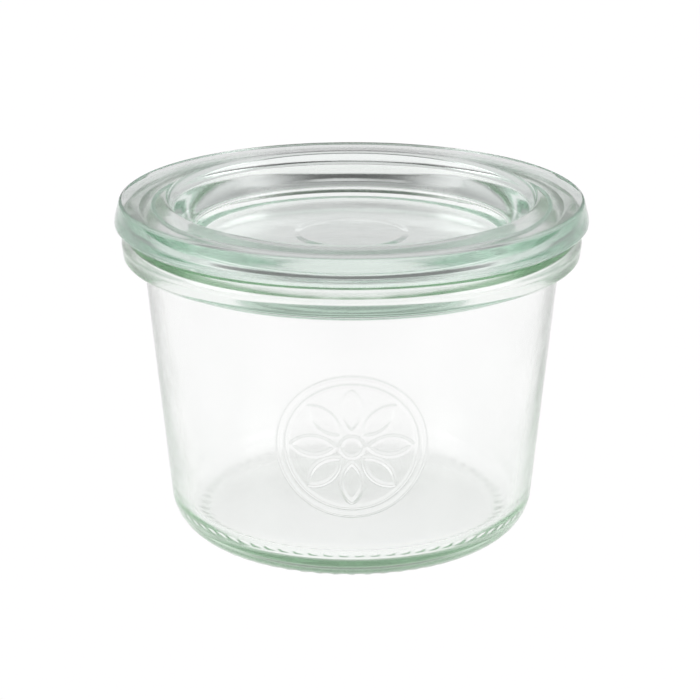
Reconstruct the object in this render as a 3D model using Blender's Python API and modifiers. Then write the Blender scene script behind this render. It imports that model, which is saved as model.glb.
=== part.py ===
"""A small empty canning jar of clear glass: a tapered body with a flanged rim, and a glass lid that rests on it.

Metres, +Z up. The origin is the centre of the ring that the jar stands on, and +Z is the jar's axis.
Both pieces are turned shapes. Each section is a list of corners, (radius, height, round), that runs from
the middle of the hollow, down the outer side, to the middle of the underside.
"""

import math

import bmesh
import bpy
from mathutils import Matrix, Vector

MM = 0.001

# Driving sizes. The lid of this class of jar is 70 mm across, and the rest is read from the photo beside it.
TOTAL_HEIGHT = 51.2 * MM
LID_RADIUS = 35.0 * MM
RIM_RADIUS = 34.05 * MM
RIM_TOP = 46.7 * MM
WALL_TOP_RADIUS = 30.8 * MM
WALL_FOOT_RADIUS = 26.84 * MM
WALL = 1.4 * MM
FLOOR = 3.5 * MM

# Rounds of the moulded corners. A crisp one has no arc.
CRISP = 0.0
FINE = 0.3 * MM
SOFT = 0.6 * MM

# The rim: an upper band that leans out to a soft ridge, and an upright band below it.
RIM_RIDGE_DROP = 1.8 * MM
RIM_RIDGE_ROUND = 1.2 * MM
RIM_DEPTH = 5.1 * MM
RIM_LEAN = 0.75 * MM
RIM_DRAFT = 0.25 * MM
RIM_UNDERSIDE = RIM_TOP - RIM_DEPTH
RIM_UNDERSIDE_SLOPE = 1.0 * MM
RIM_FOOT_ROUND = 1.05 * MM

# The mouth: a nearly upright neck, and above it a flare that widens to the rim's top.
NECK_RADIUS = WALL_TOP_RADIUS - WALL
FLARE_HEIGHT = 3.0 * MM
FLARE_ROUND = 1.5 * MM
FLARE_FOOT_RADIUS = NECK_RADIUS + 0.2 * MM
MOUTH_RADIUS = FLARE_FOOT_RADIUS + 1.7 * MM
MOUTH_ROUND = 0.45 * MM

# The heel outside and inside, and the floor, which rises a little to its middle.
HEEL_ROUND = 6.3 * MM
INNER_FOOT_RADIUS = WALL_FOOT_RADIUS - 1.9 * MM
INNER_HEEL_ROUND = 3.4 * MM
FLOOR_RISE = 0.3 * MM

# The foot: a flat ring to stand on, round a hollow that rises gently to its middle.
FOOT_INNER_RADIUS = 20.4 * MM
HOLLOW_DEPTH = 0.7 * MM

# The grip grooves round the heel, just outside the flat ring.
GROOVE_COUNT = 64
GROOVE_INNER_RADIUS = 22.2 * MM
GROOVE_OUTER_RADIUS = 24.9 * MM
GROOVE_OUTER_HEIGHT = 1.2 * MM
GROOVE_HALF_WIDTH = 0.8 * MM
GROOVE_HALF_DEPTH = 0.22 * MM
GROOVE_SIDES = 6

# The lid's flange, which rests on the rim. The gap keeps the two pieces apart.
LID_GAP = 0.3 * MM
LID_UNDERSIDE = RIM_TOP + LID_GAP
LID_LEAN = 0.75 * MM
LID_WIDEST = TOTAL_HEIGHT - 2.9 * MM
LID_CHAMFER = 0.7 * MM

# The lid's recess, which takes the foot of another jar: a lip, a rounded shelf and a well with a low disc.
LIP_RADIUS = 26.9 * MM
LIP_ROUND = 1.2 * MM
LIP_FOOT_RADIUS = 26.3 * MM
LIP_DROP = 1.5 * MM
SHELF_RADIUS = 23.9 * MM
SHELF_DROP = 2.45 * MM
SHELF_ROUND = 3.2 * MM
WELL_RADIUS = 22.6 * MM
WELL_ROUND = 1.2 * MM
WELL_DEPTH = 5.9 * MM
WELL_FLOOR = TOTAL_HEIGHT - WELL_DEPTH
DISC_RADIUS = 7.6 * MM
DISC_HEIGHT = 0.15 * MM
DISC_BEVEL = 1.0 * MM

# The low step under the flange that centres the lid in the mouth, and the plug below it.
STEP_RADIUS = 29.4 * MM
STEP_DRAFT = 0.25 * MM
STEP_DEPTH = 0.85 * MM
STEP_UNDERSIDE = LID_UNDERSIDE - STEP_DEPTH
PLUG_TOP_RADIUS = 24.5 * MM
PLUG_RADIUS = 24.1 * MM
PLUG_ROUND = 1.2 * MM
PLUG_BOTTOM = WELL_FLOOR - 4.9 * MM

TURN_STEPS = 64
ARC_STEP = math.radians(28)
MERGE = 0.01 * MM


def clear_scene():
    for obj in list(bpy.data.objects):
        bpy.data.objects.remove(obj, do_unlink=True)


def collection(name):
    made = bpy.data.collections.new(name)
    bpy.context.scene.collection.children.link(made)
    return made


def glass(name, colour):
    material = bpy.data.materials.new(name)
    material.use_nodes = True
    shader = material.node_tree.nodes["Principled BSDF"]
    shader.inputs["Base Color"].default_value = (*colour, 1.0)
    shader.inputs["Roughness"].default_value = 0.02
    shader.inputs["Metallic"].default_value = 0.0
    shader.inputs["Transmission Weight"].default_value = 1.0
    shader.inputs["IOR"].default_value = 1.52
    return material


def arc(before, corner, after, radius):
    """The points of the arc that rounds a corner."""
    to_before = (before - corner).normalized()
    to_after = (after - corner).normalized()
    turn = math.pi - to_before.angle(to_after)
    cut = radius * math.tan(turn / 2)
    centre = corner + (to_before + to_after).normalized() * math.hypot(radius, cut)
    first = corner + to_before * cut - centre
    last = corner + to_after * cut - centre
    steps = max(1, round(turn / ARC_STEP))
    points = []
    for i in range(steps + 1):
        first_share = math.sin((1 - i / steps) * turn) / math.sin(turn)
        last_share = math.sin(i / steps * turn) / math.sin(turn)
        points.append(centre + first * first_share + last * last_share)
    return points


def section_points(corners):
    """A section's points, with an arc in the place of each corner that has a round."""
    spots = [Vector((radius, height)) for radius, height, _ in corners]
    points = [spots[0]]
    for i in range(1, len(corners) - 1):
        radius = corners[i][2]
        if radius > 0:
            points += arc(spots[i - 1], spots[i], spots[i + 1], radius)
        else:
            points.append(spots[i])
    points.append(spots[-1])
    return points


def turned(name, corners, material, home):
    """A solid of revolution about Z from a section whose two ends lie on the axis."""
    points = [(point.x, 0.0, point.y) for point in section_points(corners)]
    edges = [(i, i + 1) for i in range(len(points) - 1)]
    mesh = bpy.data.meshes.new(name)
    mesh.from_pydata(points, edges, [])
    obj = bpy.data.objects.new(name, mesh)
    obj.data.materials.append(material)
    home.objects.link(obj)
    screw = obj.modifiers.new("turn", "SCREW")
    screw.axis = "Z"
    screw.steps = TURN_STEPS
    screw.render_steps = TURN_STEPS
    screw.use_merge_vertices = True
    screw.merge_threshold = MERGE
    screw.use_smooth_shade = True
    return obj


def jar_section():
    return [
        (0.0, FLOOR + FLOOR_RISE, CRISP),
        (INNER_FOOT_RADIUS, FLOOR, INNER_HEEL_ROUND),
        (NECK_RADIUS, RIM_UNDERSIDE, CRISP),
        (FLARE_FOOT_RADIUS, RIM_TOP - FLARE_HEIGHT, FLARE_ROUND),
        (MOUTH_RADIUS, RIM_TOP, MOUTH_ROUND),
        (RIM_RADIUS - RIM_LEAN, RIM_TOP, SOFT),
        (RIM_RADIUS, RIM_TOP - RIM_RIDGE_DROP, RIM_RIDGE_ROUND),
        (RIM_RADIUS - RIM_DRAFT, RIM_UNDERSIDE + RIM_UNDERSIDE_SLOPE, RIM_FOOT_ROUND),
        (WALL_TOP_RADIUS, RIM_UNDERSIDE, SOFT),
        (WALL_FOOT_RADIUS, 0.0, HEEL_ROUND),
        (FOOT_INNER_RADIUS, 0.0, CRISP),
        (0.0, HOLLOW_DEPTH, CRISP),
    ]


def lid_section():
    return [
        (0.0, WELL_FLOOR + DISC_HEIGHT, CRISP),
        (DISC_RADIUS, WELL_FLOOR + DISC_HEIGHT, CRISP),
        (DISC_RADIUS + DISC_BEVEL, WELL_FLOOR, CRISP),
        (WELL_RADIUS, WELL_FLOOR, WELL_ROUND),
        (SHELF_RADIUS, TOTAL_HEIGHT - SHELF_DROP, SHELF_ROUND),
        (LIP_FOOT_RADIUS, TOTAL_HEIGHT - LIP_DROP, SOFT),
        (LIP_RADIUS, TOTAL_HEIGHT, LIP_ROUND),
        (LID_RADIUS - LID_LEAN, TOTAL_HEIGHT, SOFT),
        (LID_RADIUS, LID_WIDEST, SOFT),
        (LID_RADIUS, LID_UNDERSIDE + LID_CHAMFER, FINE),
        (LID_RADIUS - LID_CHAMFER, LID_UNDERSIDE, FINE),
        (STEP_RADIUS, LID_UNDERSIDE, CRISP),
        (STEP_RADIUS - STEP_DRAFT, STEP_UNDERSIDE, FINE),
        (PLUG_TOP_RADIUS, STEP_UNDERSIDE, SOFT),
        (PLUG_RADIUS, PLUG_BOTTOM, PLUG_ROUND),
        (0.0, PLUG_BOTTOM, CRISP),
    ]


def groove_cutter(home):
    """Flattened rods that point outwards round the heel, each rising along its curve."""
    inner = Vector((GROOVE_INNER_RADIUS, 0.0, 0.0))
    outer = Vector((GROOVE_OUTER_RADIUS, 0.0, GROOVE_OUTER_HEIGHT))
    length = (outer - inner).length
    rise = math.asin(GROOVE_OUTER_HEIGHT / length)
    lie_down = Matrix.Rotation(math.pi / 2, 4, "Y")
    flatten = Matrix.Diagonal((1.0, 1.0, GROOVE_HALF_DEPTH / GROOVE_HALF_WIDTH, 1.0))
    tilt = Matrix.Rotation(-rise, 4, "Y")
    place = Matrix.Translation((inner + outer) / 2) @ tilt @ flatten @ lie_down
    rods = bmesh.new()
    for i in range(GROOVE_COUNT):
        spin = Matrix.Rotation((i + 0.5) * 2 * math.pi / GROOVE_COUNT, 4, "Z")
        bmesh.ops.create_cone(
            rods,
            cap_ends=True,
            segments=GROOVE_SIDES,
            radius1=GROOVE_HALF_WIDTH,
            radius2=GROOVE_HALF_WIDTH,
            depth=length,
            matrix=spin @ place,
        )
    mesh = bpy.data.meshes.new("heel_grooves")
    rods.to_mesh(mesh)
    rods.free()
    obj = bpy.data.objects.new("heel_grooves", mesh)
    obj.hide_render = True
    obj.display_type = "WIRE"
    home.objects.link(obj)
    return obj


def main():
    clear_scene()
    parts = collection("canning_jar")
    cutters = collection("cutters")
    jar = turned("jar", jar_section(), glass("jar_glass", (0.90, 0.95, 0.92)), parts)
    turned("lid", lid_section(), glass("lid_glass", (0.86, 0.94, 0.90)), parts)
    grip = jar.modifiers.new("grip", "BOOLEAN")
    grip.operation = "DIFFERENCE"
    grip.object = groove_cutter(cutters)


main()
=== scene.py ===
"""The looks of a small empty canning jar of clear glass, with a glass lid that rests on its rim.

Metres, +Z up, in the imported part's own frame. Each piece is a closed glass shell, built ring by ring from a
section that is turned about Z. Its reliefs and its slight unevenness are moulded into the surface.
A section is a list of corners, (radius, height, round, fineness), from the middle of the hollow, down the
outer side, to the middle of the underside. The fineness is that of the stretch after the corner.
"""

import math

import bmesh
import bpy
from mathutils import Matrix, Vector, noise


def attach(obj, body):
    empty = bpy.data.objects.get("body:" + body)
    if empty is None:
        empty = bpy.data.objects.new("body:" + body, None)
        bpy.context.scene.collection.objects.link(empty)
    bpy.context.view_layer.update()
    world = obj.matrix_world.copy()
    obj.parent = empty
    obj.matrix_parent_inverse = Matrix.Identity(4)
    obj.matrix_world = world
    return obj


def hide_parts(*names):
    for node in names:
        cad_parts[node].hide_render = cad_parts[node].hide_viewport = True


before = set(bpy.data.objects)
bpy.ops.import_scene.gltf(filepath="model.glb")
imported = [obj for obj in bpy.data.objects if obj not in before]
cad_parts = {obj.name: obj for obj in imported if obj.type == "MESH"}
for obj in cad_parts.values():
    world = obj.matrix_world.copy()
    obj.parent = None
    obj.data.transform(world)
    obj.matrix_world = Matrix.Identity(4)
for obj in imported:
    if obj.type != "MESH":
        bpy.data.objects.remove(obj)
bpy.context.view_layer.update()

MM = 0.001

# Driving sizes, as in the part's source.
TOTAL_HEIGHT = 51.2 * MM
LID_RADIUS = 35.0 * MM
RIM_RADIUS = 34.05 * MM
RIM_TOP = 46.7 * MM
WALL_TOP_RADIUS = 30.8 * MM
WALL_FOOT_RADIUS = 26.84 * MM
WALL = 1.4 * MM
FLOOR = 3.5 * MM

# Rounds of the moulded corners. A crisp one has no arc.
CRISP = 0.0
FINE = 0.3 * MM
SOFT = 0.6 * MM
FULL = 0.9 * MM

# The rim: an upper band that leans out to a soft ridge, and an upright band below it.
RIM_RIDGE_DROP = 1.8 * MM
RIM_RIDGE_ROUND = 1.2 * MM
RIM_DEPTH = 5.1 * MM
RIM_LEAN = 0.75 * MM
RIM_DRAFT = 0.25 * MM
RIM_UNDERSIDE = RIM_TOP - RIM_DEPTH
RIM_UNDERSIDE_SLOPE = 1.0 * MM
RIM_FOOT_ROUND = 1.05 * MM

# The mouth: a nearly upright neck, and above it a flare that widens to the rim's top.
NECK_RADIUS = WALL_TOP_RADIUS - WALL
FLARE_HEIGHT = 3.0 * MM
FLARE_ROUND = 1.5 * MM
FLARE_FOOT_RADIUS = NECK_RADIUS + 0.2 * MM
MOUTH_RADIUS = FLARE_FOOT_RADIUS + 1.7 * MM
MOUTH_ROUND = 0.45 * MM

# The heel outside and inside, the floor and the foot.
HEEL_ROUND = 6.3 * MM
INNER_FOOT_RADIUS = WALL_FOOT_RADIUS - 1.9 * MM
INNER_HEEL_ROUND = 3.4 * MM
FLOOR_RISE = 0.3 * MM
FOOT_INNER_RADIUS = 20.4 * MM
FOOT_INNER_ROUND = 15.0 * MM
HOLLOW_DEPTH = 0.7 * MM

# The grip bars round the heel. The cuts between them widen as GRIP_CUT, from -1 to 1, rises.
GRIP_COUNT = 64
GRIP_INNER_RADIUS = 22.4 * MM
GRIP_OUTER_RADIUS = 24.8 * MM
GRIP_FADE = 0.9 * MM
GRIP_DEPTH = 0.22 * MM
GRIP_CUT = 0.5

# The lid's flange and recess.
LID_GAP = 0.3 * MM
LID_UNDERSIDE = RIM_TOP + LID_GAP
LID_LEAN = 0.75 * MM
LID_WIDEST = TOTAL_HEIGHT - 2.9 * MM
LID_CHAMFER = 0.7 * MM
LIP_RADIUS = 26.95 * MM
LIP_ROUND = 1.2 * MM
LIP_FOOT_RADIUS = 26.3 * MM
LIP_DROP = 1.5 * MM
SHELF_RADIUS = 23.9 * MM
SHELF_DROP = 2.45 * MM
SHELF_ROUND = 3.2 * MM
WELL_RADIUS = 22.6 * MM
WELL_ROUND = 0.9 * MM
WELL_DEPTH = 5.9 * MM
WELL_FLOOR = TOTAL_HEIGHT - WELL_DEPTH
DISC_RADIUS = 7.6 * MM
DISC_HEIGHT = 0.12 * MM
DISC_BEVEL = 1.0 * MM
DISC_ROUND = 2.5 * MM

# The low step under the flange that centres the lid in the mouth, and the plug below it.
STEP_RADIUS = 29.4 * MM
STEP_DRAFT = 0.25 * MM
STEP_DEPTH = 0.85 * MM
STEP_UNDERSIDE = LID_UNDERSIDE - STEP_DEPTH
PLUG_TOP_RADIUS = 24.5 * MM
PLUG_RADIUS = 24.1 * MM
PLUG_ROUND = 1.2 * MM
PLUG_BOTTOM = WELL_FLOOR - 4.9 * MM

# The rosette in a ring, moulded on the front of the wall.
ORNAMENT_HEIGHT = 22.2 * MM
ORNAMENT_RING = 10.6 * MM
ORNAMENT_INNER_RING = 9.4 * MM
ORNAMENT_BOSS = 1.5 * MM
PETAL_COUNT = 8
PETAL_START = 2.4 * MM
PETAL_END = 8.6 * MM
PETAL_HALF_WIDTH = 1.45 * MM
LINE_HALF_WIDTH = 0.4 * MM
LINE_RELIEF = 0.16 * MM
PATCH_MARGIN = 0.8 * MM
PATCH_TOP = ORNAMENT_HEIGHT + ORNAMENT_RING + PATCH_MARGIN
PATCH_BOTTOM = ORNAMENT_HEIGHT - ORNAMENT_RING - PATCH_MARGIN

# The unevenness of the pressed glass: its depth and the size of its waves.
INSIDE_WAVE_DEPTH = 0.03 * MM
INSIDE_WAVE_WIDTH = 7.0 * MM
INSIDE_WAVE_LENGTH = 25.0 * MM
LID_WAVE_DEPTH = 0.03 * MM
LID_WAVE_WIDTH = 5.0 * MM

# The glass: its bending of light, its tint by absorption per metre, its haze and its fine ripple.
GLASS_IOR = 1.52
JAR_TINT = (0.35, 0.76, 0.40)
LID_TINT = (0.35, 0.74, 0.52)
JAR_DENSITY = 13.0
LID_DENSITY = 13.0
HAZE_SCALE = 90.0
HAZE_LOW = 0.06
HAZE_HIGH = 0.12
HAZE_LOW_AT = 0.3
HAZE_HIGH_AT = 0.7
RIPPLE_SCALE = 260.0
RIPPLE_DEPTH = 0.01 * MM

# The camera: where it stands, how far down it looks, and its lens.
CAMERA_SIDE = -0.25 * MM
CAMERA_DISTANCE = 350.0 * MM
CAMERA_HEIGHT = 141.2 * MM
CAMERA_PITCH = math.radians(18.06)
CAMERA_LENS_MM = 125.7
SENSOR_MM = 36.0
CAMERA_CLIP = 10.0 * MM

# The studio. Levels are shares of the floor's white, and directions are parts of a unit vector. Wide screens
# stand at both sides, a backdrop behind the jar brightens upwards and ends before the ceiling, and a soft
# light glows at each side, a little in front. The room on the camera's side is dim. The light is a touch
# short of green, which keeps the thin walls neutral.
STUDIO_COLOUR = (1.016, 1.0, 1.014, 1.0)
ROOM_LIGHT = 0.1
SCREEN_LIGHT = 0.75
SCREEN_START = 0.15
SCREEN_FULL = 0.6
BACKDROP_LIGHT = 0.66
BACKDROP_START = 0.0
BACKDROP_FULL = 0.7
BACKDROP_END = 0.96
BACKDROP_EDGE = 0.86
FRONT_END = -0.5
FRONT_EDGE = 0.0
GLOW_LIGHT = 2.4
GLOW_SIDE = 0.888
GLOW_FORWARD = -0.359
GLOW_HEIGHT = 0.289
GLOW_START = math.cos(math.radians(24))
GLOW_FULL = math.cos(math.radians(5))

# How often light may pass or bounce. With too few passes, parts of the rims stay black.
GLASS_BOUNCES = 96
GLOSS_BOUNCES = 32
CLEAR_BOUNCES = 16

# The floor lies a hair below the jar's foot. It glows white, and its glow falls softly to a pale grey in
# front of the jar: a painted falloff of light, as if less light reached the floor there.
FLOOR_SIZE = 8.0
FLOOR_DROP = 0.1 * MM
FLOOR_PAINTED_SHADE_LEVEL = 0.42
FLOOR_PAINTED_SHADE_FROM = -70.0 * MM
FLOOR_PAINTED_SHADE_TO = -260.0 * MM

# How finely each stretch of a section is meshed: the length of its rows and the columns round it.
ARC_STEP = math.radians(11)
PLAIN_ROW = 0.9 * MM
PATCH_ROW = 0.16 * MM
GRIP_ROW = 0.35 * MM
PLAIN_COLUMNS = 192
PATCH_COLUMNS = 150
PATCH_ANGLE = math.radians(24)
COLUMNS_A_BAR = 9
GRIP_COLUMNS = GRIP_COUNT * COLUMNS_A_BAR


def even_columns(count):
    return [2 * math.pi * i / count for i in range(count)]


def patch_columns():
    """Columns close together on the front of the wall, where the ornament is, and wide apart elsewhere."""
    front = 1.5 * math.pi
    rest = 2 * math.pi - 2 * PATCH_ANGLE
    close = [front + PATCH_ANGLE * (2 * i / PATCH_COLUMNS - 1) for i in range(PATCH_COLUMNS)]
    wide = [front + PATCH_ANGLE + rest * i / PATCH_COLUMNS for i in range(PATCH_COLUMNS)]
    return sorted(angle % (2 * math.pi) for angle in close + wide)


PLAIN = (PLAIN_ROW, even_columns(PLAIN_COLUMNS))
PATCH = (PATCH_ROW, patch_columns())
GRIP = (GRIP_ROW, even_columns(GRIP_COLUMNS))


def arc(before, corner, after, radius, row_step):
    """The points of the arc that rounds a corner."""
    to_before = (before - corner).normalized()
    to_after = (after - corner).normalized()
    turn = math.pi - to_before.angle(to_after)
    cut = radius * math.tan(turn / 2)
    centre = corner + (to_before + to_after).normalized() * math.hypot(radius, cut)
    first = corner + to_before * cut - centre
    last = corner + to_after * cut - centre
    steps = max(2, round(turn / ARC_STEP), round(turn * radius / row_step))
    points = []
    for i in range(steps + 1):
        first_share = math.sin((1 - i / steps) * turn) / math.sin(turn)
        last_share = math.sin(i / steps * turn) / math.sin(turn)
        points.append(centre + first * first_share + last * last_share)
    return points


def section_rows(corners):
    """A section's rows, (point, columns), with an arc for each rounded corner."""
    spots = [Vector((radius, height)) for radius, height, _, _ in corners]
    row_step, columns = corners[0][3]
    rows = [(spots[0], columns)]
    for i in range(1, len(corners)):
        _, _, radius, (next_step, next_columns) = corners[i]
        turn = [spots[i]]
        if radius > 0:
            turn = arc(spots[i - 1], spots[i], spots[i + 1], radius, min(row_step, next_step))
        start = rows[-1][0]
        count = max(1, round((turn[0] - start).length / row_step))
        rows += [(start.lerp(turn[0], j / count), columns) for j in range(1, count)]
        rows += [(point, next_columns) for point in turn]
        row_step = next_step
        columns = next_columns
    return rows


def wall_radius(height):
    return WALL_FOOT_RADIUS + (WALL_TOP_RADIUS - WALL_FOOT_RADIUS) * height / RIM_UNDERSIDE


def jar_section():
    return [
        (0.0, FLOOR + FLOOR_RISE, CRISP, PLAIN),
        (INNER_FOOT_RADIUS, FLOOR, INNER_HEEL_ROUND, PLAIN),
        (NECK_RADIUS, RIM_UNDERSIDE, FULL, PLAIN),
        (FLARE_FOOT_RADIUS, RIM_TOP - FLARE_HEIGHT, FLARE_ROUND, PLAIN),
        (MOUTH_RADIUS, RIM_TOP, MOUTH_ROUND, PLAIN),
        (RIM_RADIUS - RIM_LEAN, RIM_TOP, SOFT, PLAIN),
        (RIM_RADIUS, RIM_TOP - RIM_RIDGE_DROP, RIM_RIDGE_ROUND, PLAIN),
        (RIM_RADIUS - RIM_DRAFT, RIM_UNDERSIDE + RIM_UNDERSIDE_SLOPE, RIM_FOOT_ROUND, PLAIN),
        (WALL_TOP_RADIUS, RIM_UNDERSIDE, SOFT, PLAIN),
        (wall_radius(PATCH_TOP), PATCH_TOP, CRISP, PATCH),
        (wall_radius(PATCH_BOTTOM), PATCH_BOTTOM, CRISP, PLAIN),
        (WALL_FOOT_RADIUS, 0.0, HEEL_ROUND, GRIP),
        (FOOT_INNER_RADIUS, 0.0, FOOT_INNER_ROUND, PLAIN),
        (0.0, HOLLOW_DEPTH, CRISP, PLAIN),
    ]


def lid_section():
    return [
        (0.0, WELL_FLOOR + DISC_HEIGHT, CRISP, PLAIN),
        (DISC_RADIUS, WELL_FLOOR + DISC_HEIGHT, DISC_ROUND, PLAIN),
        (DISC_RADIUS + DISC_BEVEL, WELL_FLOOR, DISC_ROUND, PLAIN),
        (WELL_RADIUS, WELL_FLOOR, WELL_ROUND, PLAIN),
        (SHELF_RADIUS, TOTAL_HEIGHT - SHELF_DROP, SHELF_ROUND, PLAIN),
        (LIP_FOOT_RADIUS, TOTAL_HEIGHT - LIP_DROP, SOFT, PLAIN),
        (LIP_RADIUS, TOTAL_HEIGHT, LIP_ROUND, PLAIN),
        (LID_RADIUS - LID_LEAN, TOTAL_HEIGHT, SOFT, PLAIN),
        (LID_RADIUS, LID_WIDEST, SOFT, PLAIN),
        (LID_RADIUS, LID_UNDERSIDE + LID_CHAMFER, FINE, PLAIN),
        (LID_RADIUS - LID_CHAMFER, LID_UNDERSIDE, FINE, PLAIN),
        (STEP_RADIUS, LID_UNDERSIDE, FINE, PLAIN),
        (STEP_RADIUS - STEP_DRAFT, STEP_UNDERSIDE, FINE, PLAIN),
        (PLUG_TOP_RADIUS, STEP_UNDERSIDE, SOFT, PLAIN),
        (PLUG_RADIUS, PLUG_BOTTOM, PLUG_ROUND, PLAIN),
        (0.0, PLUG_BOTTOM, CRISP, PLAIN),
    ]


def smooth_step(value):
    value = min(1.0, max(0.0, value))
    return value * value * (3 - 2 * value)


def ornament_distance(across, up):
    """How far a place on the wall is from the ornament's nearest line."""
    out = math.hypot(across, up)
    lines = [abs(out - ring) for ring in (ORNAMENT_RING, ORNAMENT_INNER_RING, ORNAMENT_BOSS)]
    sector = 2 * math.pi / PETAL_COUNT
    turn = math.atan2(across, up)
    turn -= round(turn / sector) * sector
    along = out * math.cos(turn)
    beside = abs(out * math.sin(turn))
    middle = (PETAL_START + PETAL_END) / 2
    half_length = (PETAL_END - PETAL_START) / 2
    bow = (half_length ** 2 + PETAL_HALF_WIDTH ** 2) / (2 * PETAL_HALF_WIDTH)
    if abs(along - middle) < half_length:
        lines.append(abs(math.hypot(along - middle, beside + bow - PETAL_HALF_WIDTH) - bow))
    else:
        tip = PETAL_START if along < middle else PETAL_END
        lines.append(math.hypot(along - tip, beside))
    return min(lines)


def ornament_relief(place):
    """How far the ornament stands out from the wall."""
    across = math.atan2(place.x, -place.y) * wall_radius(place.z)
    up = place.z - ORNAMENT_HEIGHT
    return LINE_RELIEF * smooth_step(1 - ornament_distance(across, up) / LINE_HALF_WIDTH)


def grip_relief(place):
    """How far the bottom is cut in between the grip bars."""
    out = math.hypot(place.x, place.y)
    turn = math.atan2(place.y, place.x) * GRIP_COUNT
    between = smooth_step(GRIP_CUT - math.cos(turn))
    start = smooth_step((out - GRIP_INNER_RADIUS) / GRIP_FADE)
    end = smooth_step((GRIP_OUTER_RADIUS - out) / GRIP_FADE)
    return -GRIP_DEPTH * between * start * end


def waves(place, width, length):
    """The unevenness of the pressed glass, as a share of its depth. It ends at the axis."""
    share = (noise.noise(Vector((place.x / width, place.y / width, place.z / length))) + 1) / 2
    return share * smooth_step(math.hypot(place.x, place.y) / width)


def jar_relief(place, facing):
    outside = facing.x > 0 or facing.y < 0
    if not outside:
        return -INSIDE_WAVE_DEPTH * waves(place, INSIDE_WAVE_WIDTH, INSIDE_WAVE_LENGTH)
    if PATCH_BOTTOM < place.z < PATCH_TOP and place.y < 0:
        return ornament_relief(place)
    if place.z < HEEL_ROUND:
        return grip_relief(place)
    return 0.0


def lid_relief(place, facing):
    return -LID_WAVE_DEPTH * waves(place, LID_WAVE_WIDTH, LID_WAVE_WIDTH)


def moulded_ring(shell, point, facing, columns, relief):
    """One ring of the shell, pushed along its normal by the relief at each column."""
    ring = []
    for angle in columns:
        out = Vector((math.cos(angle), math.sin(angle), 0.0))
        place = out * point.x + Vector((0.0, 0.0, point.y))
        normal = out * facing.x + Vector((0.0, 0.0, facing.y))
        ring.append(shell.verts.new(place + normal * relief(place, facing)))
    return ring


def join_rings(shell, first, first_columns, second, second_columns):
    """Joins two rings, with squares where their columns agree and triangles elsewhere."""
    if first_columns is second_columns:
        for i in range(len(first)):
            shell.faces.new((first[i - 1], second[i - 1], second[i], first[i]))
        return
    first_ends = first_columns[1:] + [first_columns[0] + 2 * math.pi]
    second_ends = second_columns[1:] + [second_columns[0] + 2 * math.pi]
    i = 0
    j = 0
    while i < len(first) or j < len(second):
        here = first[i % len(first)]
        there = second[j % len(second)]
        if j == len(second) or (i < len(first) and first_ends[i] <= second_ends[j]):
            i += 1
            shell.faces.new((here, there, first[i % len(first)]))
        else:
            j += 1
            shell.faces.new((here, there, second[j % len(second)]))


def turned(name, corners, relief):
    """A closed shell turned about Z from a section whose two ends lie on the axis."""
    rows = section_rows(corners)
    shell = bmesh.new()
    rings = []
    for i in range(1, len(rows) - 1):
        point, columns = rows[i]
        along = (rows[i + 1][0] - rows[i - 1][0]).normalized()
        facing = Vector((-along.y, along.x))
        rings.append((moulded_ring(shell, point, facing, columns, relief), columns))
    for (first, first_columns), (second, second_columns) in zip(rings, rings[1:]):
        join_rings(shell, first, first_columns, second, second_columns)
    for point, ring in ((rows[0][0], rings[0][0]), (rows[-1][0], rings[-1][0])):
        pole = shell.verts.new((0.0, 0.0, point.y))
        for i in range(len(ring)):
            shell.faces.new((pole, ring[i - 1], ring[i]))
    bmesh.ops.recalc_face_normals(shell, faces=shell.faces)
    mesh = bpy.data.meshes.new(name)
    shell.to_mesh(mesh)
    shell.free()
    mesh.shade_smooth()
    obj = bpy.data.objects.new(name, mesh)
    bpy.context.scene.collection.objects.link(obj)
    return obj


def noise_value(tree, place, scale):
    """A soft random value that varies through the object."""
    node = tree.nodes.new("ShaderNodeTexNoise")
    node.inputs["Scale"].default_value = scale
    tree.links.new(place.outputs["Object"], node.inputs["Vector"])
    return node.outputs["Fac"]


def glass(name, tint, density):
    """Clear, faintly green glass, whose gloss and surface waver a little."""
    material = bpy.data.materials.new(name)
    material.use_nodes = True
    tree = material.node_tree
    shader = tree.nodes["Principled BSDF"]
    shader.inputs["Base Color"].default_value = (1.0, 1.0, 1.0, 1.0)
    shader.inputs["Transmission Weight"].default_value = 1.0
    shader.inputs["IOR"].default_value = GLASS_IOR
    place = tree.nodes.new("ShaderNodeTexCoord")
    gloss = tree.nodes.new("ShaderNodeMapRange")
    gloss.inputs["From Min"].default_value = HAZE_LOW_AT
    gloss.inputs["From Max"].default_value = HAZE_HIGH_AT
    gloss.inputs["To Min"].default_value = HAZE_LOW
    gloss.inputs["To Max"].default_value = HAZE_HIGH
    tree.links.new(noise_value(tree, place, HAZE_SCALE), gloss.inputs["Value"])
    tree.links.new(gloss.outputs["Result"], shader.inputs["Roughness"])
    bump = tree.nodes.new("ShaderNodeBump")
    bump.inputs["Distance"].default_value = RIPPLE_DEPTH
    tree.links.new(noise_value(tree, place, RIPPLE_SCALE), bump.inputs["Height"])
    tree.links.new(bump.outputs["Normal"], shader.inputs["Normal"])
    body = tree.nodes.new("ShaderNodeVolumeAbsorption")
    body.inputs["Color"].default_value = (*tint, 1.0)
    body.inputs["Density"].default_value = density
    tree.links.new(body.outputs["Volume"], tree.nodes["Material Output"].inputs["Volume"])
    return material


def smooth_ramp(tree, socket, start, end, level):
    """A value that goes smoothly from 0 to the level as the socket goes from start to end."""
    node = tree.nodes.new("ShaderNodeMapRange")
    node.interpolation_type = "SMOOTHSTEP"
    node.inputs["From Min"].default_value = start
    node.inputs["From Max"].default_value = end
    node.inputs["To Max"].default_value = level
    tree.links.new(socket, node.inputs["Value"])
    return node.outputs["Result"]


def worked_out(tree, operation, *values):
    """The outcome of a sum on sockets or plain numbers."""
    node = tree.nodes.new("ShaderNodeMath")
    node.operation = operation
    for slot, value in zip(node.inputs, values):
        if isinstance(value, float):
            slot.default_value = value
        else:
            tree.links.new(value, slot)
    return node.outputs["Value"]


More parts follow.
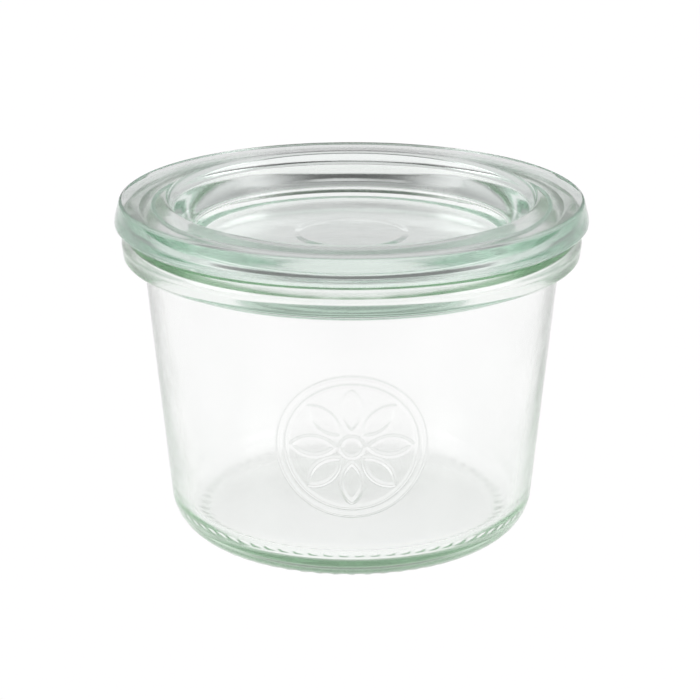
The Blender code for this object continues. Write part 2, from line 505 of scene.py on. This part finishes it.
def make_floor():
    """A pale glowing floor that lights the jar from below. Its glow is painted to dim towards the camera's
    side, a painted falloff of light.
    """
    bpy.ops.mesh.primitive_plane_add(size=FLOOR_SIZE, location=(0.0, 0.0, -FLOOR_DROP))
    floor = bpy.context.object
    floor.name = "floor"
    material = bpy.data.materials.new("pale_floor_painted_falloff")
    material.use_nodes = True
    tree = material.node_tree
    tree.nodes.remove(tree.nodes["Principled BSDF"])
    place = tree.nodes.new("ShaderNodeTexCoord")
    split = tree.nodes.new("ShaderNodeSeparateXYZ")
    tree.links.new(place.outputs["Object"], split.inputs["Vector"])
    # Painted shade: the floor's glow is dimmed towards the camera's side, as if less light fell there.
    painted_falloff = smooth_ramp(tree, split.outputs["Y"], FLOOR_PAINTED_SHADE_TO, FLOOR_PAINTED_SHADE_FROM, 1.0 - FLOOR_PAINTED_SHADE_LEVEL)
    glow = tree.nodes.new("ShaderNodeEmission")
    tree.links.new(worked_out(tree, "ADD", painted_falloff, FLOOR_PAINTED_SHADE_LEVEL), glow.inputs["Strength"])
    glow.inputs["Color"].default_value = STUDIO_COLOUR
    tree.links.new(glow.outputs["Emission"], tree.nodes["Material Output"].inputs["Surface"])
    floor.data.materials.append(material)


def make_world():
    """The studio's light, by direction."""
    world = bpy.data.worlds.new("studio")
    bpy.context.scene.world = world
    world.use_nodes = True
    tree = world.node_tree
    coords = tree.nodes.new("ShaderNodeTexCoord")
    split = tree.nodes.new("ShaderNodeSeparateXYZ")
    tree.links.new(coords.outputs["Generated"], split.inputs["Vector"])
    side = worked_out(tree, "ABSOLUTE", split.outputs["X"])
    screens = smooth_ramp(tree, side, SCREEN_START, SCREEN_FULL, SCREEN_LIGHT)
    backdrop = smooth_ramp(tree, split.outputs["Z"], BACKDROP_START, BACKDROP_FULL, BACKDROP_LIGHT)
    behind = smooth_ramp(tree, split.outputs["Y"], FRONT_END, FRONT_EDGE, 1.0)
    below_top = smooth_ramp(tree, split.outputs["Z"], BACKDROP_END, BACKDROP_EDGE, 1.0)
    lit = worked_out(tree, "MULTIPLY", behind, below_top)
    light = worked_out(tree, "MULTIPLY", lit, worked_out(tree, "MAXIMUM", screens, backdrop))
    towards_glow = worked_out(tree, "MULTIPLY", side, GLOW_SIDE)
    for axis, share in (("Y", GLOW_FORWARD), ("Z", GLOW_HEIGHT)):
        towards_glow = worked_out(tree, "MULTIPLY_ADD", split.outputs[axis], share, towards_glow)
    glow = smooth_ramp(tree, towards_glow, GLOW_START, GLOW_FULL, GLOW_LIGHT)
    light = worked_out(tree, "ADD", light, glow)
    background = tree.nodes["Background"]
    tree.links.new(worked_out(tree, "ADD", light, ROOM_LIGHT), background.inputs["Strength"])
    background.inputs["Color"].default_value = STUDIO_COLOUR


def make_camera():
    data = bpy.data.cameras.new("camera")
    data.sensor_width = SENSOR_MM
    data.lens = CAMERA_LENS_MM
    data.clip_start = CAMERA_CLIP
    camera = bpy.data.objects.new("camera", data)
    camera.location = (CAMERA_SIDE, -CAMERA_DISTANCE, CAMERA_HEIGHT)
    camera.rotation_euler = (math.pi / 2 - CAMERA_PITCH, 0.0, 0.0)
    bpy.context.scene.collection.objects.link(camera)
    bpy.context.scene.camera = camera


def set_render():
    scene = bpy.context.scene
    scene.view_settings.view_transform = "Standard"
    scene.cycles.max_bounces = GLASS_BOUNCES
    scene.cycles.transmission_bounces = GLASS_BOUNCES
    scene.cycles.glossy_bounces = GLOSS_BOUNCES
    scene.cycles.transparent_max_bounces = CLEAR_BOUNCES


make_camera()
set_render()
make_world()
make_floor()
for node, section, relief, tint, density in (
    ("jar", jar_section(), jar_relief, JAR_TINT, JAR_DENSITY),
    ("lid", lid_section(), lid_relief, LID_TINT, LID_DENSITY),
):
    piece = turned(node + "_shell", section, relief)
    piece.data.materials.append(glass(node + "_glass", tint, density))
    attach(piece, "root")
    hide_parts(node)
